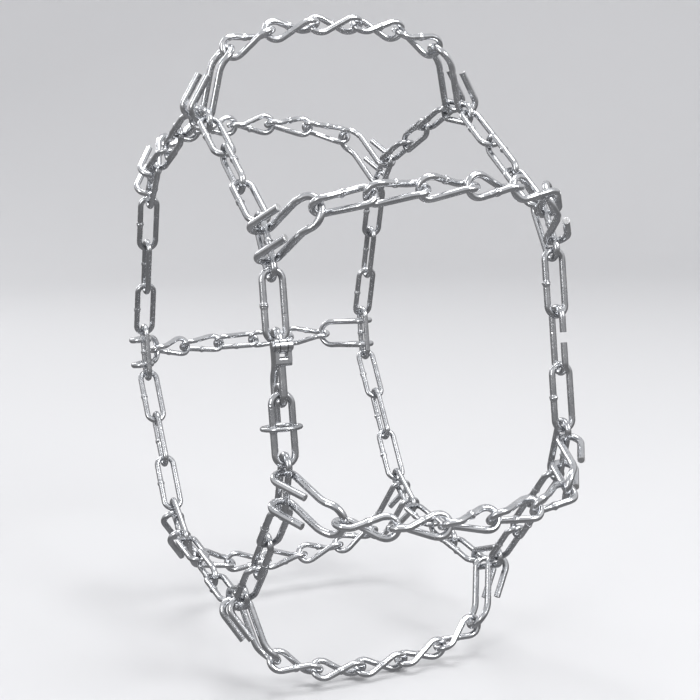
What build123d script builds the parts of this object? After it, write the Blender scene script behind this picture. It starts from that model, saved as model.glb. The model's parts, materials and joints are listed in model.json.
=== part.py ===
from build123d import *
import os
from math import asin, atan2, cos, degrees, radians, sin

os.makedirs("parts", exist_ok=True)

# Tire snow chains in their fitted shape, around a tyre that is left out.
# Millimetres. Y is the wheel axle, +Z is up, and the origin is the wheel's centre.
# The outer side of the wheel, with the fastener, faces -Y. +X is the front of the tread.

# ---- driving dimensions -------------------------------------------------------------------
CROSS_CHAINS = 7            # cross chains, evenly spaced round the tyre
FIRST_ANGLE = 84.0          # degrees from +X towards +Z of the first cross chain
SIDE_Y = 88.0               # distance of each side chain from the tyre's middle plane

SIDE_WIRE = 3.9             # wire of the side chain links
SIDE_PITCH = 34.0           # pitch of the side chains
SIDE_EYE = 7.8              # clear width inside a side link

CROSS_WIRE = 4.0            # wire of the twisted cross links
CROSS_PITCH = 29.3          # pitch of the cross chains
CROSS_EYE = 8.4             # clear width inside a cross link
CROSS_RADIUS = 209.0        # wheel radius of the middle cross link's axis
CROSS_TILTS = (22.0, 8.0)   # slope of the first and second cross links over the shoulder
CROSS_ROLLS = (30.0, 14.0)  # extra roll of the first and second cross links
TWIST = 45.0                # each end of a cross link is turned this far from the tread
RAIL_BEND = 9.0             # radius of the bends in a twisted link's rails

HOOK_WIRE = 4.3             # wire of the double hooks at the ends of the cross chains
HOOK_SPREAD = 18.6          # distance between the two arms of a double hook
HOOK_LEAN = 12.0            # lean of the arms beside the sidewall
HOOK_SHOULDER = 42.0        # lean of the arms over the tyre's shoulder
HOOK_ELBOW = 16.0           # radius of the elbow between the two leans
HOOK_CURL = 6.4             # radius of the curl that holds the side link
HOOK_CURL_TURN = 30.0       # the curl's centre lies outboard of the rail and this far above it
HOOK_TIP = 19.0             # length of the straight tip outside the side chain
HOOK_TIP_LEAN = 30.0        # lean of the tip towards its arm

PLAY = 0.6                  # slack at each place where wires of the cross chains meet
SIDE_PLAY = 0.9             # slack at each place where side links meet
CURL_PLAY = 0.3             # slack between a side rail and the hook curled round it
HOOK_PLAY = 0.6             # slack between a double hook's crown and its cross link
BEAD = 0.35                 # height of the weld bead over its wire
BEAD_LENGTH = 2.8
END_HOOK_TIP = 4.7          # the end hook's wire stops this far above its middle
END_HOOK_BACK = -1.4        # and starts again this far below it

FASTENER_WIRE = 4.4
PIVOT_X = 12.0              # the lever's pin, above the middle of the fastener
PIVOT_Z = -7.5
PIN_RADIUS = 1.9
PIN_PLAY = 0.08
BOSS_RADIUS = 4.2
EYE_RADIUS = 4.9            # eye of the shank round the lower link's wire
BRIDGE_X = 3.5              # where the shank widens into its fork
BRIDGE_Z = -6.2
BRIDGE_LENGTH = 5.0
BRIDGE_TALL = 6.4
BRIDGE_ROUND = 1.6
FORK_WIDTH = 9.4
CHEEK = 2.2
CHEEK_Z = -7.0
CHEEK_TALL = 6.0
HEAD = 1.4                  # height of the pin's rivet heads
HEAD_RADIUS = 3.0
LEVER_BEND = 5.0            # bend of the lever through the upper link
LEVER_OUT = 5.4
LEVER_BOW = 4.0             # where the lever's leg starts to bow away from the chain
LEVER_BOW_LENGTH = 14.0
LEVER_LEG = 9.7
LEVER_TIP = -31.0
KEEPER_WIRE = 2.6
KEEPER_RADIUS = 10.6
KEEPER_X = -33.3
KEEPER_Z = 3.2

# ---- values worked out from them ----------------------------------------------------------
BAY = 360.0 / CROSS_CHAINS
HALF_BAY = radians(BAY / 2)
LINK_RADIUS = SIDE_PITCH * (1.5 + 0.5 * cos(HALF_BAY)) / sin(HALF_BAY)
CHORD_RADIUS = LINK_RADIUS * cos(HALF_BAY) + SIDE_PITCH / 2 * sin(HALF_BAY)
SIDE_INSIDE = SIDE_PITCH + SIDE_PLAY
SIDE_RAIL = (SIDE_EYE + SIDE_WIRE) / 2
CATCH_X = (SIDE_PITCH - SIDE_WIRE) / 2      # centre of the crown wires next to the fastener
CROSS_RAIL = (CROSS_EYE + CROSS_WIRE) / 2
CURL_NEAR = SIDE_WIRE / 2 + CURL_PLAY + HOOK_WIRE / 2   # nearest the curl comes to the rail's axis
CURL_INBOARD = -(HOOK_CURL - CURL_NEAR) * cos(radians(HOOK_CURL_TURN))
CURL_RISE = (HOOK_CURL - CURL_NEAR) * sin(radians(HOOK_CURL_TURN))


def at_angle(angle):
    """Frame at an angle round the wheel: x along the tread, y outboard, z away from the axle."""
    turn = radians(angle)
    along = (-sin(turn), 0, cos(turn))
    outward = (cos(turn), 0, sin(turn))
    return Plane(origin=(0, 0, 0), x_dir=along, z_dir=outward).location


def rod(edges, wire):
    """Round wire along a chain of edges that starts where its first edge starts."""
    path = Wire(edges)
    start = Plane(origin=edges[0] @ 0, z_dir=edges[0] % 0)
    return sweep(start * Circle(wire / 2), path=path)


def weld_bead(edge, wire):
    """Low collar of weld midway along a rail."""
    spot = Plane(origin=edge @ 0.5, z_dir=edge % 0.5).location
    collar = Cylinder(radius=wire / 2 + BEAD, height=BEAD_LENGTH)
    return spot * fillet(collar.edges(), BEAD * 0.9)


# ---- links --------------------------------------------------------------------------------
def oval_link(inside, eye, wire):
    """Welded link lying in the XY plane, its long axis along X."""
    rail = (eye + wire) / 2
    half = (inside - eye) / 2
    ends = []
    for side in (1, -1):
        near = Line((0, -side * rail, 0), (side * half, -side * rail, 0))
        crown = ThreePointArc((side * half, -side * rail, 0), (side * (half + rail), 0, 0),
                              (side * half, side * rail, 0))
        far = Line((side * half, side * rail, 0), (0, side * rail, 0))
        ends.append(rod([near, crown, far], wire))
    seam = Line((-half, rail, 0), (half, rail, 0))
    return ends[0] + ends[1] + weld_bead(seam, wire)


def s_rail(half, near, far):
    """Rail that steps sideways between two crown ends: bend, straight run, bend back."""
    lateral = far - near
    step = lateral.length
    sideways = lateral.normalized()
    bend = RAIL_BEND
    run = 2 * half
    # lean angle at which two equal bends and a straight run make up the step
    lean = 2 * atan2(step, run + (run * run + step * step - 4 * bend * step) ** 0.5)
    forward = Vector(1, 0, 0)
    first = near + Vector(-half, 0, 0)
    last = far + Vector(half, 0, 0)
    reach = bend * sin(lean)
    rise = bend * (1 - cos(lean))
    knee = first + forward * reach + sideways * rise
    ankle = last - forward * reach - sideways * rise
    return [
        ThreePointArc(first, bend_middle(first, forward, sideways, bend, lean), knee),
        Line(knee, ankle),
        ThreePointArc(ankle, bend_middle(last, -forward, -sideways, bend, lean), last),
    ]


def bend_middle(start, forward, sideways, bend, lean):
    """Middle point of a bend that leaves start along forward and turns sideways."""
    return start + forward * bend * sin(lean / 2) + sideways * bend * (1 - cos(lean / 2))


def twisted_link():
    """Cross link along X whose two ends are turned a quarter turn from each other."""
    half = (CROSS_PITCH + PLAY - CROSS_EYE) / 2
    turn = radians(TWIST)
    left = Vector(0, cos(turn), sin(turn)) * CROSS_RAIL
    right = Vector(0, cos(turn), -sin(turn)) * CROSS_RAIL
    upper = s_rail(half, left, right)
    lower = s_rail(half, -left, -right)
    left_tip = Vector(-half - CROSS_RAIL, 0, 0)
    right_tip = Vector(half + CROSS_RAIL, 0, 0)
    back = Vector(-half, 0, 0)
    front = Vector(half, 0, 0)
    left_crown = ThreePointArc(back - left, left_tip, back + left)
    right_crown = ThreePointArc(front + right, right_tip, front - right)
    first_half = rod([left_crown] + upper, CROSS_WIRE)
    lower_back = [reversed_edge(edge) for edge in reversed(lower)]
    second_half = rod([right_crown] + lower_back, CROSS_WIRE)
    return first_half + second_half + weld_bead(upper[1], CROSS_WIRE)


def reversed_edge(edge):
    """The same line or arc, run from its other end."""
    if edge.geom_type == GeomType.LINE:
        return Line(edge @ 1, edge @ 0)
    return ThreePointArc(edge @ 1, edge @ 0.5, edge @ 0)


# ---- cross chain layout, in the frame of at_angle -------------------------------------------
def cross_joints():
    """Meeting points of the outer half of a cross chain, from the middle link outwards."""
    outboard = CROSS_PITCH / 2
    height = CROSS_RADIUS
    points = [Vector(0, outboard, height)]
    for tilt in reversed(CROSS_TILTS):
        outboard += CROSS_PITCH * cos(radians(tilt))
        height -= CROSS_PITCH * sin(radians(tilt))
        points.append(Vector(0, outboard, height))
    return points


def cross_link(outer, inner, roll):
    """Twisted link between two meeting points, outer end first, rolled about its own axis."""
    middle = (outer + inner) / 2
    run = inner - outer
    down = -degrees(atan2(run.Z, -run.Y))
    # its X axis runs from the outboard end to the inboard end
    return Pos(*middle) * Rot(down, 0, 0) * Rot(0, 0, -90) * Rot(roll, 0, 0) * twisted_link()


def hook_corner(crown_start):
    """Lengths of the two straight stretches of a hook's arm."""
    lean = radians(HOOK_LEAN)
    shoulder = radians(HOOK_SHOULDER)
    rail_height = LINK_RADIUS + SIDE_RAIL
    inboard = SIDE_Y - crown_start.Y - CURL_INBOARD - HOOK_CURL * cos(lean)
    inboard -= HOOK_ELBOW * (cos(lean) - cos(shoulder))
    rise = crown_start.Z - rail_height - CURL_RISE + HOOK_CURL * sin(lean)
    rise -= HOOK_ELBOW * (sin(shoulder) - sin(lean))
    scale = sin(shoulder - lean)
    lower_run = (rise * sin(shoulder) - inboard * cos(shoulder)) / scale
    upper_run = (inboard * cos(lean) - rise * sin(lean)) / scale
    return lower_run, upper_run


def arm_point(inboard, rise, side):
    """Point of a hook's arm, measured from the rail it hangs on."""
    rail_height = LINK_RADIUS + SIDE_RAIL
    return Vector(side * HOOK_SPREAD / 2, SIDE_Y - inboard, rail_height + rise)


def hook_arm(side, crown_start):
    """Edges of one arm, from its cut tip round the rail and up to the crown."""
    lean = radians(HOOK_LEAN)
    shoulder = radians(HOOK_SHOULDER)
    tip_lean = radians(HOOK_TIP_LEAN)
    lower_run, upper_run = hook_corner(crown_start)
    low = (tip_lean + lean) / 2
    curl_end = (CURL_INBOARD + HOOK_CURL * cos(lean), CURL_RISE - HOOK_CURL * sin(lean))
    curl_low = (CURL_INBOARD - HOOK_CURL * sin(low), CURL_RISE - HOOK_CURL * cos(low))
    curl_start = (CURL_INBOARD - HOOK_CURL * cos(tip_lean), CURL_RISE + HOOK_CURL * sin(tip_lean))
    tip = (curl_start[0] + HOOK_TIP * sin(tip_lean), curl_start[1] + HOOK_TIP * cos(tip_lean))
    knee = (curl_end[0] + lower_run * sin(lean), curl_end[1] + lower_run * cos(lean))
    middle = (lean + shoulder) / 2
    bend = (knee[0] + HOOK_ELBOW * (cos(lean) - cos(middle)),
            knee[1] + HOOK_ELBOW * (sin(middle) - sin(lean)))
    elbow = (knee[0] + HOOK_ELBOW * (cos(lean) - cos(shoulder)),
             knee[1] + HOOK_ELBOW * (sin(shoulder) - sin(lean)))
    end = (elbow[0] + upper_run * sin(shoulder), elbow[1] + upper_run * cos(shoulder))
    points = [arm_point(*spot, side) for spot in (tip, curl_start, curl_low, curl_end)]
    points += [arm_point(*spot, side) for spot in (knee, bend, elbow, end)]
    return [
        Line(points[0], points[1]),
        ThreePointArc(points[1], points[2], points[3]),
        Line(points[3], points[4]),
        ThreePointArc(points[4], points[5], points[6]),
        Line(points[6], points[7]),
    ]


def double_hook(joint):
    """U-shaped end hook: a crown under the first cross link and two arms curled on the rail."""
    shoulder = radians(HOOK_SHOULDER)
    tilt = radians(CROSS_TILTS[0])
    reach = Vector(0, -sin(shoulder), cos(shoulder))
    run = Vector(0, -cos(tilt), sin(tilt))
    apex = joint + (reach + run).normalized() * (HOOK_WIRE / 2 + HOOK_PLAY)
    crown_start = apex - reach * HOOK_SPREAD / 2
    first = hook_arm(1, crown_start)
    second = hook_arm(-1, crown_start)
    crown = ThreePointArc(first[-1] @ 1, apex, second[-1] @ 1)
    back = [reversed_edge(edge) for edge in reversed(second)]
    return rod(first + [crown] + back, HOOK_WIRE)


def cross_chain_half():
    """Outer hook and first two links of a cross chain, as a dict by name."""
    joints = cross_joints()
    pieces = {"outer_hook": double_hook(joints[2])}
    pieces["link_1"] = cross_link(joints[2], joints[1], CROSS_ROLLS[0])
    pieces["link_2"] = cross_link(joints[1], joints[0], CROSS_ROLLS[1])
    return pieces


def cross_chain():
    """All seven pieces of a cross chain, from the outer hook to the inner one."""
    pieces = cross_chain_half()
    joint = cross_joints()[0]
    pieces["link_3"] = cross_link(joint, Vector(0, -joint.Y, joint.Z), 0.0)
    half_turn = Rot(0, 0, 180)
    for name, twin in (("link_4", "link_2"), ("link_5", "link_1"), ("inner_hook", "outer_hook")):
        pieces[name] = half_turn * pieces[twin]
    return pieces


# ---- side chains ----------------------------------------------------------------------------
def side_places(side):
    """Places of the flat and the standing links of one side chain."""
    flat = []
    standing = []
    for number in range(CROSS_CHAINS):
        angle = FIRST_ANGLE - number * BAY
        flat.append(at_angle(angle) * Pos(0, side * SIDE_Y, LINK_RADIUS) * Rot(90, 0, 0))
        bay = at_angle(angle - BAY / 2)
        for step in (1, 0, -1):
            centre = bay * Pos(step * SIDE_PITCH, side * SIDE_Y, CHORD_RADIUS)
            if step:
                standing.append(centre)
            elif number != 1:
                flat.append(centre * Rot(90, 0, 0))
    return flat, standing


# ---- fastener, in its own frame: x up the chain, z towards the axle ---------------------------
def fastener_lever():
    """Lever whose bend holds the upper link and whose long leg folds down beside the lower one."""
    near = LEVER_OUT - 2 * LEVER_BEND
    middle = LEVER_OUT - LEVER_BEND
    bow_start = Vector(LEVER_BOW, 0, LEVER_OUT)
    bow_end = Vector(LEVER_BOW - LEVER_BOW_LENGTH, 0, LEVER_LEG)
    halfway = (bow_start + bow_end) / 2
    radius = (LEVER_BOW_LENGTH ** 2 + (LEVER_LEG - LEVER_OUT) ** 2) / (4 * (LEVER_LEG - LEVER_OUT))
    lean = asin(LEVER_BOW_LENGTH / 2 / radius)
    down = Vector(-1, 0, 0)
    out = Vector(0, 0, 1)
    path = [
        Line((PIVOT_X, 0, near), (CATCH_X, 0, near)),
        ThreePointArc((CATCH_X, 0, near), (CATCH_X + LEVER_BEND, 0, middle),
                      (CATCH_X, 0, LEVER_OUT)),
        Line((CATCH_X, 0, LEVER_OUT), bow_start),
        ThreePointArc(bow_start, bend_middle(bow_start, down, out, radius, lean), halfway),
        ThreePointArc(halfway, bend_middle(bow_end, -down, -out, radius, lean), bow_end),
        Line(bow_end, (LEVER_TIP, 0, LEVER_LEG)),
    ]
    pivot = Pos(PIVOT_X, 0, PIVOT_Z) * Rot(90, 0, 0)
    boss = pivot * Cylinder(radius=BOSS_RADIUS, height=FASTENER_WIRE - 0.5)
    hole = pivot * Cylinder(radius=PIN_RADIUS + PIN_PLAY, height=2 * FASTENER_WIRE)
    return rod(path, FASTENER_WIRE) + boss - hole


def fastener_shank():
    """Shank with an eye on the lower link and a fork for the lever's pin."""
    eye = Pos(-CATCH_X, 0, 0) * Rot(90, 0, 0) * Torus(EYE_RADIUS, FASTENER_WIRE / 2)
    bar = rod([Line((-CATCH_X, 0, -EYE_RADIUS), (BRIDGE_X, 0, -EYE_RADIUS))], FASTENER_WIRE)
    cheek_y = (FORK_WIDTH - CHEEK) / 2
    bridge = Pos(BRIDGE_X, 0, BRIDGE_Z) * Box(BRIDGE_LENGTH, FORK_WIDTH, BRIDGE_TALL)
    shank = eye + bar + fillet(bridge.edges().filter_by(Axis.Y), BRIDGE_ROUND)
    reach = PIVOT_X - BRIDGE_X
    for side in (1, -1):
        round_end = Pos(PIVOT_X, side * cheek_y, PIVOT_Z) * Rot(90, 0, 0)
        shank += round_end * Cylinder(radius=BOSS_RADIUS, height=CHEEK)
        spot = Pos(BRIDGE_X + reach / 2, side * cheek_y, CHEEK_Z)
        shank += spot * Box(reach, CHEEK, CHEEK_TALL)
    hole = Pos(PIVOT_X, 0, PIVOT_Z) * Rot(90, 0, 0) * Cylinder(PIN_RADIUS, 2 * FORK_WIDTH)
    return shank - hole


def fastener_pin():
    """Riveted pin through the fork."""
    spot = Pos(PIVOT_X, 0, PIVOT_Z) * Rot(90, 0, 0)
    pin = spot * Cylinder(radius=PIN_RADIUS, height=FORK_WIDTH + HEAD)
    for side in (1, -1):
        centre = side * (FORK_WIDTH + HEAD) / 2
        head = Cylinder(radius=HEAD_RADIUS, height=HEAD)
        rim = head.edges().group_by(Axis.Z)[-1]
        head = fillet(rim, HEAD * 0.6)
        turn = Rot(-90 * side, 0, 0)
        pin += Pos(PIVOT_X, centre, PIVOT_Z) * turn * head
    return pin


def fastener_keeper():
    """Ring on the lower link that slides up over the lever's tip."""
    return Pos(KEEPER_X, 0, KEEPER_Z) * Rot(0, 90, 0) * Torus(KEEPER_RADIUS, KEEPER_WIRE / 2)


def end_hook():
    """Open hook that closes the inner side chain."""
    half = (SIDE_INSIDE - SIDE_EYE) / 2
    rail = SIDE_RAIL
    path = [
        Line((END_HOOK_TIP, 0, rail), (half, 0, rail)),
        ThreePointArc((half, 0, rail), (half + rail, 0, 0), (half, 0, -rail)),
        Line((half, 0, -rail), (-half, 0, -rail)),
        ThreePointArc((-half, 0, -rail), (-half - rail, 0, 0), (-half, 0, rail)),
        Line((-half, 0, rail), (END_HOOK_BACK, 0, rail)),
    ]
    return rod(path, SIDE_WIRE)


# ---- nodes ----------------------------------------------------------------------------------
def save(shape, name):
    shape.label = name
    export_step(shape, f"parts/{name}.step")


def build_side_chains():
    link = oval_link(SIDE_INSIDE, SIDE_EYE, SIDE_WIRE)
    for side, word in ((1, "outer"), (-1, "inner")):
        flat, standing = side_places(side)
        save(Compound(children=[place * link for place in flat]), f"{word}_flat_links")
        save(Compound(children=[place * link for place in standing]), f"{word}_standing_links")


def build_cross_chains():
    pieces = cross_chain()
    for number in range(CROSS_CHAINS):
        place = at_angle(FIRST_ANGLE - number * BAY)
        for name, piece in pieces.items():
            save(place * piece, f"cross_{number + 1}_{name}")


def build_closures():
    bay = at_angle(FIRST_ANGLE - 1.5 * BAY)
    outer = bay * Pos(0, SIDE_Y, CHORD_RADIUS) * Rot(180, 0, 0)
    inner = bay * Pos(0, -SIDE_Y, CHORD_RADIUS)
    save(outer * fastener_shank(), "fastener_shank")
    save(outer * fastener_lever(), "fastener_lever")
    save(outer * fastener_pin(), "fastener_pin")
    save(outer * fastener_keeper(), "fastener_keeper")
    save(inner * end_hook(), "inner_end_hook")


if __name__ == "__main__":
    build_side_chains()
    build_cross_chains()
    build_closures()
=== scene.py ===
import json
import math
import random

import bpy
from mathutils import Matrix, Vector


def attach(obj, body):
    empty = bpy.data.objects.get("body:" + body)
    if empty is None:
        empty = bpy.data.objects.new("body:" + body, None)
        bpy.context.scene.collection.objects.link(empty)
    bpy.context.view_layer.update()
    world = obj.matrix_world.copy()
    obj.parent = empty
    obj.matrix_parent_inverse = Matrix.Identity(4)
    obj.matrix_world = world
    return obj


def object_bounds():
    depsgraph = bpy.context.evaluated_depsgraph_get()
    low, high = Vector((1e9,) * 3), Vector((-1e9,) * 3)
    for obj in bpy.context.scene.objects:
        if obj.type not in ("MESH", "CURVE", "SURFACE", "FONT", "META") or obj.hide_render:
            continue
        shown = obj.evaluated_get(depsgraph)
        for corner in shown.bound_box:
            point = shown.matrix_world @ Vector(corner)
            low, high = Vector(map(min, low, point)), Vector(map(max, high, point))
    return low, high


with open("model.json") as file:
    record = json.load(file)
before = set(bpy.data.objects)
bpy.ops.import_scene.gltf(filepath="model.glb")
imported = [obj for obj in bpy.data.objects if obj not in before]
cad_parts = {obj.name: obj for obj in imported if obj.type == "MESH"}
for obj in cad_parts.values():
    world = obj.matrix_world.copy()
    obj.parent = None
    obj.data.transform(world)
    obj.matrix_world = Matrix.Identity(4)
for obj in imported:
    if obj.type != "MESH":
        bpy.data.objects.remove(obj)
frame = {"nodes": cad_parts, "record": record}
cad_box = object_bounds()

# Tire snow chains. Metres, in the row frame: Y is the wheel axle, the fastener faces -Y.

# ---- the chain's own dimensions, as the frame has them ---------------------------------------
MM = 0.001
CROSS_CHAINS = 7
BAY = 360 / CROSS_CHAINS
FIRST_ANGLE = 84.0
SIDE_Y = 88 * MM
SIDE_PITCH = 34 * MM
SIDE_WIRE = 3.9 * MM
SIDE_RAIL = 5.85 * MM
CROSS_WIRE = 4.0 * MM
CROSS_PITCH = 29.3 * MM
CROSS_RAIL = 6.2 * MM
CROSS_RADIUS = 209 * MM
CROSS_TILTS = (22.0, 8.0)
CROSS_ROLLS = (30.0, 14.0)
HOOK_WIRE = 4.3 * MM
HOOK_SPREAD = 18.6 * MM
HOOK_CURL = 6.4 * MM
HOOK_CURL_NEAR = 4.4 * MM
HOOK_CURL_TURN = 30.0
HOOK_TIP = 19.0 * MM
HOOK_TIP_LEAN = 30.0
RAIL_LEAN = 27.05           # lean of a twisted link's rail where it is welded
HALF_BAY = math.radians(BAY / 2)
LINK_RADIUS = SIDE_PITCH * (1.5 + 0.5 * math.cos(HALF_BAY)) / math.sin(HALF_BAY)
CHORD_RADIUS = LINK_RADIUS * math.cos(HALF_BAY) + SIDE_PITCH / 2 * math.sin(HALF_BAY)
CROSS_TWIST = 45.0          # each end of a cross link is turned this far from the tread

# ---- modelled detail: welds and cut ends -------------------------------------------------------
HEAT = "heat"               # vertex attribute: 1 at the weld, fading to 0 along the wire
WELD_REACH = 5.5 * MM       # half length of the sleeve round the rail
UPSET = (0.42, 0.62)        # least and most height of a weld's upset, burr and lumps, in millimetres
BURR = (0.15, 0.4)
LUMP = (0.02, 0.07)
WELD_COVER = 0.02 * MM      # the sleeve's height over the wire
WELD_HUMP = 0.95 * MM       # half width of the upset
WELD_WANDER = 0.25 * MM     # how far the upset's line strays along the wire
WELD_CROWD = 0.6            # packs the sleeve's rings towards the upset
HEAT_REACH = 3.2 * MM
CUT_INSET = 0.04 * MM       # the cut face is this much smaller than the wire all round
CUT_CROWN = 0.12            # heights on the cut face, in millimetres
CUT_TEAR = 0.16
CUT_GRAIN = 0.03
CUT_BURR = 0.1
CUT_EDGE = -0.02

# ---- camera, stage and plating -------------------------------------------------------------------
CAMERA_AZIMUTH = 68.4
CAMERA_ELEVATION = 9.5
CAMERA_ROLL = -1.5
CAMERA_DISTANCE = 0.92
CAMERA_PAN = 0.78
CAMERA_LIFT = -0.15
SENSOR = 36
LENS = 71.0486              # millimetres on that sensor
STAGE_FLAT = 2.2
STAGE_BEND = 1.2
STAGE_WALL = 2.2
PAPER = (0.66, 0.66, 0.67, 1)
HEAT_TINT = (0.30, 0.285, 0.27)
# grey levels of the surroundings from straight down to straight up
SKY = ((0.0, (0.30, 0.30, 0.31)), (0.35, (0.22, 0.22, 0.2244)), (0.5, (0.35, 0.35, 0.357)),
       (0.62, (0.8, 0.8, 0.816)), (1.0, (0.75, 0.76, 0.78)))
SKY_STRENGTH = 0.8
# darkest tone, lightest tone and roughness of the plating on each kind of piece
PLATING = {
    "side_link_steel": ((0.52, 0.53, 0.55), (0.73, 0.74, 0.76), 0.22),
    "cross_link_steel": ((0.60, 0.61, 0.63), (0.84, 0.85, 0.87), 0.18),
    "hook_steel": ((0.57, 0.58, 0.60), (0.81, 0.82, 0.84), 0.19),
    "fastener_steel": ((0.52, 0.53, 0.55), (0.75, 0.76, 0.78), 0.20),
}


# ---- places of the links ---------------------------------------------------------------------
def at_angle(angle):
    """Frame at an angle round the wheel: x along the tread, y outboard, z away from the axle."""
    a = math.radians(angle)
    return Matrix(((-math.sin(a), 0, math.cos(a), 0), (0, -1, 0, 0),
                   (math.cos(a), 0, math.sin(a), 0), (0, 0, 0, 1)))


def turn(axis, degrees):
    return Matrix.Rotation(math.radians(degrees), 4, axis)


def move(x, y, z):
    return Matrix.Translation((x, y, z))


def side_link_places(side):
    """Places of the flat and the standing links of one side chain."""
    flat, standing = [], []
    for number in range(CROSS_CHAINS):
        angle = FIRST_ANGLE - number * BAY
        flat.append(at_angle(angle) @ move(0, side * SIDE_Y, LINK_RADIUS) @ turn("X", 90))
        bay = at_angle(angle - BAY / 2)
        for step in (1, 0, -1):
            centre = bay @ move(step * SIDE_PITCH, side * SIDE_Y, CHORD_RADIUS)
            if step:
                standing.append(centre)
            elif number != 1:
                flat.append(centre @ turn("X", 90))
    return flat, standing


def cross_link_places():
    """Places of the five cross links in the frame of at_angle, outer end first."""
    y, z = CROSS_PITCH / 2, CROSS_RADIUS
    joints = [Vector((0, y, z))]
    for tilt in reversed(CROSS_TILTS):
        y += CROSS_PITCH * math.cos(math.radians(tilt))
        z -= CROSS_PITCH * math.sin(math.radians(tilt))
        joints.append(Vector((0, y, z)))
    joints.reverse()
    joints += [Vector((0, -j.y, j.z)) for j in reversed(joints)]
    rolls = (*CROSS_ROLLS, 0.0)
    places = []
    for outer, inner, roll in zip(joints[:3], joints[1:4], rolls):
        run = inner - outer
        down = -math.degrees(math.atan2(run.z, -run.y))
        middle = (outer + inner) / 2
        place = move(*middle) @ turn("X", down) @ turn("Z", -90) @ turn("X", roll)
        places.append(place)
    half_turn = turn("Z", 180)
    return places + [half_turn @ places[1], half_turn @ places[0]]


def hook_tip_places():
    """Frames of a double hook's two cut ends, z out of the cut, in the frame of at_angle."""
    lean, curl_turn = math.radians(HOOK_TIP_LEAN), math.radians(HOOK_CURL_TURN)
    offset = HOOK_CURL - HOOK_CURL_NEAR
    inboard = -offset * math.cos(curl_turn) - HOOK_CURL * math.cos(lean)
    rise = offset * math.sin(curl_turn) + HOOK_CURL * math.sin(lean)
    inboard += HOOK_TIP * math.sin(lean)
    rise += HOOK_TIP * math.cos(lean)
    places = []
    for side in (1, -1):
        spot = move(side * HOOK_SPREAD / 2, SIDE_Y - inboard, LINK_RADIUS + SIDE_RAIL + rise)
        places.append(spot @ turn("X", HOOK_TIP_LEAN))
    return places


# ---- modelled detail -----------------------------------------------------------------------
def mesh_piece(name, parts, body, material):
    """One mesh of several (points, faces, heat) parts, riding on a body."""
    points, faces, heat = [], [], []
    for part_points, part_faces, part_heat in parts:
        start = len(points)
        points += part_points
        faces += [tuple(start + i for i in face) for face in part_faces]
        heat += part_heat
    mesh = bpy.data.meshes.new(name)
    mesh.from_pydata(points, [], faces)
    mesh.validate()
    layer = mesh.attributes.new(HEAT, "FLOAT", "POINT")
    layer.data.foreach_set("value", heat)
    mesh.shade_smooth()
    mesh.materials.append(material)
    piece = bpy.data.objects.new(name, mesh)
    bpy.context.scene.collection.objects.link(piece)
    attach(piece, body)
    return piece


def weld(place, wire, dice):
    """Upset of a resistance weld round a rail that runs along x, with the blued wire beside it."""
    around, rings = 32, 23
    ridge = dice.uniform(*UPSET) * MM
    burr_at = dice.uniform(0, 2 * math.pi)
    burr = dice.uniform(*BURR) * MM
    lumps = [(dice.uniform(0, 2 * math.pi), dice.randint(2, 7), dice.uniform(*LUMP) * MM)
             for _ in range(4)]
    points, faces, heat = [], [], []
    for ring in range(rings):
        t = 2 * ring / (rings - 1) - 1
        x = WELD_REACH * t * abs(t) ** WELD_CROWD
        hump = math.exp(-(x / WELD_HUMP) ** 2)
        for i in range(around):
            a = 2 * math.pi * i / around
            high = ridge + burr * max(0, math.cos(a - burr_at)) ** 3
            high += sum(size * math.cos(count * a + phase) for phase, count, size in lumps)
            lip = WELD_WANDER * math.cos(2 * a + burr_at)
            radius = wire / 2 + WELD_COVER + high * hump
            spot = (x + lip * hump, radius * math.cos(a), radius * math.sin(a))
            points.append(place @ Vector(spot))
            heat.append(math.exp(-(x / HEAT_REACH) ** 2))
    for ring in range(rings - 1):
        for i in range(around):
            a, b = ring * around + i, ring * around + (i + 1) % around
            faces.append((a, b, b + around, a + around))
    return points, faces, heat


def cut_end(place, wire, dice):
    """Sheared end of a wire: a burnished half, a torn half and a small burr, z out of the cut."""
    around, rings = 28, 8
    radius = wire / 2 - CUT_INSET
    shear = dice.uniform(0, 2 * math.pi)
    points, faces, heat = [place @ Vector((0, 0, CUT_CROWN * MM))], [], [0.0]
    for ring in range(1, rings + 1):
        share = ring / rings
        for i in range(around):
            a = 2 * math.pi * i / around
            torn = max(0, math.cos(a - shear))
            height = CUT_CROWN * (1 - share ** 6) + CUT_TEAR * torn * share * (1 - share ** 8)
            height += dice.uniform(-CUT_GRAIN, CUT_GRAIN) * torn
            if ring == rings - 1:
                height += CUT_BURR * max(0, -math.cos(a - shear)) ** 4
            if ring == rings:
                height = CUT_EDGE
            r = radius * share
            points.append(place @ Vector((r * math.cos(a), r * math.sin(a), height * MM)))
            heat.append(0.0)
    for i in range(around):
        faces.append((0, 1 + i, 1 + (i + 1) % around))
    for ring in range(rings - 1):
        for i in range(around):
            a, b = 1 + ring * around + i, 1 + ring * around + (i + 1) % around
            faces.append((a, a + around, b + around, b))
    return points, faces, heat


def add_welds(side_zinc, cross_zinc):
    dice = random.Random(7)
    for side, word in ((1, "outer"), (-1, "inner")):
        flat, standing = side_link_places(side)
        for kind, places in (("flat", flat), ("standing", standing)):
            parts = [weld(place @ move(0, SIDE_RAIL, 0), SIDE_WIRE, dice) for place in places]
            mesh_piece(f"{word}_{kind}_welds", parts, "root", side_zinc)
    reach = CROSS_RAIL * math.cos(math.radians(CROSS_TWIST))
    for number in range(CROSS_CHAINS):
        chain = at_angle(FIRST_ANGLE - number * BAY)
        for index, place in enumerate(cross_link_places()):
            rail = chain @ place @ move(0, reach, 0) @ turn("Y", RAIL_LEAN)
            name = f"cross_{number + 1}_link_{index + 1}"
            parts = [weld(rail, CROSS_WIRE, dice)]
            mesh_piece(name + "_weld", parts, name, cross_zinc)


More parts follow.
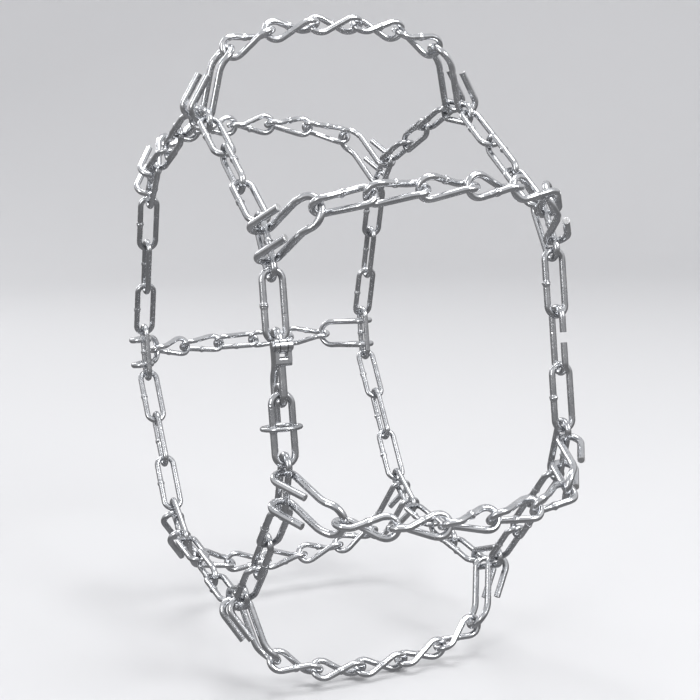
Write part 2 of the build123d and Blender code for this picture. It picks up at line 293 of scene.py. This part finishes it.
def add_cut_ends(bare):
    dice = random.Random(11)
    for number in range(CROSS_CHAINS):
        chain = at_angle(FIRST_ANGLE - number * BAY)
        for word, flip in (("outer", 0), ("inner", 180)):
            body = f"cross_{number + 1}_{word}_hook"
            parts = [cut_end(chain @ turn("Z", flip) @ place, HOOK_WIRE, dice)
                     for place in hook_tip_places()]
            mesh_piece(body + "_cut_ends", parts, body, bare)


# ---- camera ----------------------------------------------------------------------------------
def level_axes(ahead):
    """Right and up of a level camera that looks ahead."""
    right = ahead.cross(Vector((0, 0, 1))).normalized()
    return right, right.cross(ahead)


def add_camera():
    azimuth, elevation = math.radians(CAMERA_AZIMUTH), math.radians(CAMERA_ELEVATION)
    back = Vector((math.sin(azimuth) * math.cos(elevation),
                   -math.cos(azimuth) * math.cos(elevation), math.sin(elevation)))
    right, up = level_axes(-back)
    pan, lift = math.tan(math.radians(CAMERA_PAN)), math.tan(math.radians(CAMERA_LIFT))
    ahead = (-back + pan * right + lift * up).normalized()
    right, up = level_axes(ahead)
    roll = math.radians(CAMERA_ROLL)
    rolled_right = math.cos(roll) * right + math.sin(roll) * up
    rolled_up = -math.sin(roll) * right + math.cos(roll) * up
    data = bpy.data.cameras.new("camera")
    data.sensor_width = SENSOR
    data.lens = LENS
    camera = bpy.data.objects.new("camera", data)
    bpy.context.scene.collection.objects.link(camera)
    facing = Matrix((rolled_right, rolled_up, -ahead)).transposed().to_4x4()
    camera.matrix_world = Matrix.Translation(back * CAMERA_DISTANCE) @ facing
    bpy.context.scene.camera = camera


# ---- light and stage ---------------------------------------------------------------------------
def add_softbox(name, place, aim, size, power):
    data = bpy.data.lights.new(name, "AREA")
    data.shape = "RECTANGLE"
    data.size, data.size_y = size
    data.energy = power
    light = bpy.data.objects.new(name, data)
    bpy.context.scene.collection.objects.link(light)
    light.location = place
    light.rotation_mode = "QUATERNION"
    light.rotation_quaternion = (Vector(aim) - Vector(place)).to_track_quat("-Z", "Y")


def add_world():
    """Soft surroundings for the metal to mirror: dim below, bright above the horizon."""
    world = bpy.data.worlds.new("studio")
    bpy.context.scene.world = world
    world.use_nodes = True
    nodes, links = world.node_tree.nodes, world.node_tree.links
    nodes.clear()
    out = nodes.new("ShaderNodeOutputWorld")
    background = nodes.new("ShaderNodeBackground")
    ramp = nodes.new("ShaderNodeValToRGB")
    place = nodes.new("ShaderNodeTexCoord")
    split = nodes.new("ShaderNodeSeparateXYZ")
    span = nodes.new("ShaderNodeMapRange")
    links.new(place.outputs["Generated"], split.inputs[0])
    links.new(split.outputs["Z"], span.inputs["Value"])
    span.inputs["From Min"].default_value = -1
    span.inputs["From Max"].default_value = 1
    links.new(span.outputs[0], ramp.inputs[0])
    stops = ramp.color_ramp.elements
    stops[0].position, stops[-1].position = SKY[0][0], SKY[-1][0]
    for at, _ in SKY[1:-1]:
        stops.new(at)
    for stop, (_, colour) in zip(stops, SKY):
        stop.color = (*colour, 1)
    links.new(ramp.outputs[0], background.inputs["Color"])
    background.inputs["Strength"].default_value = SKY_STRENGTH
    links.new(background.outputs[0], out.inputs["Surface"])


def add_stage():
    """Pale floor that curves up into a backdrop all round, seen by the camera but not mirrored."""
    floor_z = cad_box[0].z
    profile = [(STAGE_FLAT / 2, 0.0), (STAGE_FLAT, 0.0)]
    steps = 12
    for i in range(1, steps + 1):
        a = math.pi / 2 * i / steps
        profile.append((STAGE_FLAT + STAGE_BEND * math.sin(a), STAGE_BEND * (1 - math.cos(a))))
    profile.append((STAGE_FLAT + STAGE_BEND, STAGE_WALL + STAGE_BEND))
    around = 96
    points, faces = [], []
    for radius, height in profile:
        for i in range(around):
            a = 2 * math.pi * i / around
            points.append((radius * math.cos(a), radius * math.sin(a), floor_z + height))
    points.append((0, 0, floor_z))
    centre = len(points) - 1
    for i in range(around):
        faces.append((centre, i, (i + 1) % around))
    for ring in range(len(profile) - 1):
        for i in range(around):
            a, b = ring * around + i, ring * around + (i + 1) % around
            faces.append((a, a + around, b + around, b))
    mesh = bpy.data.meshes.new("stage")
    mesh.from_pydata(points, [], faces)
    mesh.shade_smooth()
    stage = bpy.data.objects.new("stage", mesh)
    bpy.context.scene.collection.objects.link(stage)
    material = bpy.data.materials.new("stage_paper")
    material.use_nodes = True
    shader = material.node_tree.nodes["Principled BSDF"]
    shader.inputs["Base Color"].default_value = PAPER
    shader.inputs["Roughness"].default_value = 0.9
    mesh.materials.append(material)
    stage.visible_glossy = False


# ---- materials -----------------------------------------------------------------------------
class Nodes:
    """Short hand for building a material's nodes."""

    def __init__(self, name):
        self.material = bpy.data.materials.new(name)
        self.material.use_nodes = True
        self.tree = self.material.node_tree
        self.shader = self.tree.nodes["Principled BSDF"]
        self.place = self.tree.nodes.new("ShaderNodeTexCoord").outputs["Object"]

    def link(self, start, end):
        self.tree.links.new(start, end)

    def noise(self, scale, detail=3.0, rough=0.55):
        node = self.tree.nodes.new("ShaderNodeTexNoise")
        node.inputs["Scale"].default_value = scale
        node.inputs["Detail"].default_value = detail
        node.inputs["Roughness"].default_value = rough
        self.link(self.place, node.inputs["Vector"])
        return node.outputs["Fac"]

    def cells(self, scale):
        node = self.tree.nodes.new("ShaderNodeTexVoronoi")
        node.inputs["Scale"].default_value = scale
        self.link(self.place, node.inputs["Vector"])
        return node

    def span(self, value, low, high, to_low, to_high):
        node = self.tree.nodes.new("ShaderNodeMapRange")
        node.inputs["From Min"].default_value = low
        node.inputs["From Max"].default_value = high
        node.inputs["To Min"].default_value = to_low
        node.inputs["To Max"].default_value = to_high
        self.link(value, node.inputs["Value"])
        return node.outputs[0]

    def math(self, kind, a, b):
        node = self.tree.nodes.new("ShaderNodeMath")
        node.operation = kind
        for socket, value in zip(node.inputs, (a, b)):
            if isinstance(value, (int, float)):
                socket.default_value = value
            else:
                self.link(value, socket)
        return node.outputs[0]

    def mix(self, amount, low, high):
        node = self.tree.nodes.new("ShaderNodeMix")
        node.data_type = "RGBA"
        self.link(amount, node.inputs["Factor"])
        low_colour, high_colour, mixed_colour = node.inputs[6], node.inputs[7], node.outputs[2]
        for socket, value in ((low_colour, low), (high_colour, high)):
            if isinstance(value, tuple):
                socket.default_value = (*value, 1)
            else:
                self.link(value, socket)
        return mixed_colour

    def bump(self, height, distance, strength, under=None):
        node = self.tree.nodes.new("ShaderNodeBump")
        node.inputs["Distance"].default_value = distance
        node.inputs["Strength"].default_value = strength
        self.link(height, node.inputs["Height"])
        if under is not None:
            self.link(under, node.inputs["Normal"])
        return node.outputs[0]


def zinc(name, dark, light, rough, welded=False):
    """Bright zinc plate on drawn wire: cloudy tone, small spangle, dull patches, a few dings."""
    n = Nodes(name)
    cloud = n.span(n.noise(scale=55, detail=4, rough=0.6), 0.35, 0.65, 0, 1)
    spangle = n.span(n.cells(900).outputs["Distance"], 0.1, 0.8, 0, 1)
    tone = n.math("ADD", n.math("MULTIPLY", cloud, 0.8), n.math("MULTIPLY", spangle, 0.2))
    colour = n.mix(tone, dark, light)
    dull = n.span(n.noise(scale=130, detail=5, rough=0.65), 0.54, 0.74, 0, 1)
    stain = tuple(0.72 * v for v in dark)
    colour = n.mix(n.math("MULTIPLY", dull, 0.5), colour, stain)
    if welded:
        heat = n.tree.nodes.new("ShaderNodeAttribute")
        heat.attribute_name = HEAT
        patchy = n.math("MULTIPLY", heat.outputs["Fac"], n.span(n.noise(scale=600), 0.3, 0.6, 0.45, 1))
        colour = n.mix(n.math("MULTIPLY", patchy, 0.6), colour, HEAT_TINT)
    n.link(colour, n.shader.inputs["Base Color"])
    n.shader.inputs["Metallic"].default_value = 1.0
    base_rough = n.span(n.noise(scale=240, detail=3, rough=0.6), 0.3, 0.7, rough - 0.05, rough + 0.07)
    n.link(n.math("ADD", base_rough, n.math("MULTIPLY", dull, 0.14)),
           n.shader.inputs["Roughness"])
    peel = n.bump(n.noise(scale=420, detail=2, rough=0.5), distance=0.10 * MM, strength=0.16)
    grain = n.bump(n.noise(scale=2400, detail=3, rough=0.6), distance=0.02 * MM, strength=0.25, under=peel)
    spots = n.cells(330)
    dent = n.span(spots.outputs["Distance"], 0.0, 0.3, 1, 0)
    pick = n.tree.nodes.new("ShaderNodeSeparateColor")
    n.link(spots.outputs["Color"], pick.inputs[0])
    few = n.span(pick.outputs[0], 0.86, 0.88, 0, 1)
    hollows = n.math("MULTIPLY", n.math("MULTIPLY", dent, few), -1)
    dings = n.bump(hollows, distance=0.25 * MM, strength=0.5, under=grain)
    n.link(dings, n.shader.inputs["Normal"])
    return n.material


def bare_steel(name):
    """Freshly cut wire: brighter than the plate, torn grain."""
    n = Nodes(name)
    grain = n.span(n.noise(scale=2600, detail=4, rough=0.7), 0.35, 0.65, 0, 1)
    n.link(n.mix(grain, (0.52, 0.52, 0.53), (0.80, 0.80, 0.80)), n.shader.inputs["Base Color"])
    n.shader.inputs["Metallic"].default_value = 1.0
    n.link(n.span(grain, 0, 1, 0.28, 0.5), n.shader.inputs["Roughness"])
    n.link(n.bump(grain, distance=0.08 * MM, strength=0.5), n.shader.inputs["Normal"])
    return n.material


# ---- the making --------------------------------------------------------------------------------
add_camera()
add_world()
add_softbox("key", (2.0, 1.1, 1.5), (0, 0, 0.02), (1.1, 0.9), 40)
add_softbox("front_left", (1.2, -2.2, 0.9), (0, 0, 0), (0.5, 1.4), 14)
add_softbox("top", (-0.2, 0.1, 2.6), (0, 0, 0), (1.4, 1.4), 34)
add_softbox("back", (-2.2, -0.8, 1.2), (0, 0, 0), (0.5, 1.2), 12)
add_stage()

finishes = {slot: zinc(slot + "_zinc", *tone) for slot, tone in PLATING.items()}
for part in frame["record"]["subparts"]:
    mesh = frame["nodes"][part["node"]].data
    mesh.materials.clear()
    mesh.materials.append(finishes[part["material_slot"]])
add_welds(zinc("side_weld_zinc", *PLATING["side_link_steel"], welded=True),
          zinc("cross_weld_zinc", *PLATING["cross_link_steel"], welded=True))
add_cut_ends(bare_steel("cut_wire"))

bpy.context.scene.view_settings.view_transform = "Standard"
bpy.context.view_layer.update()
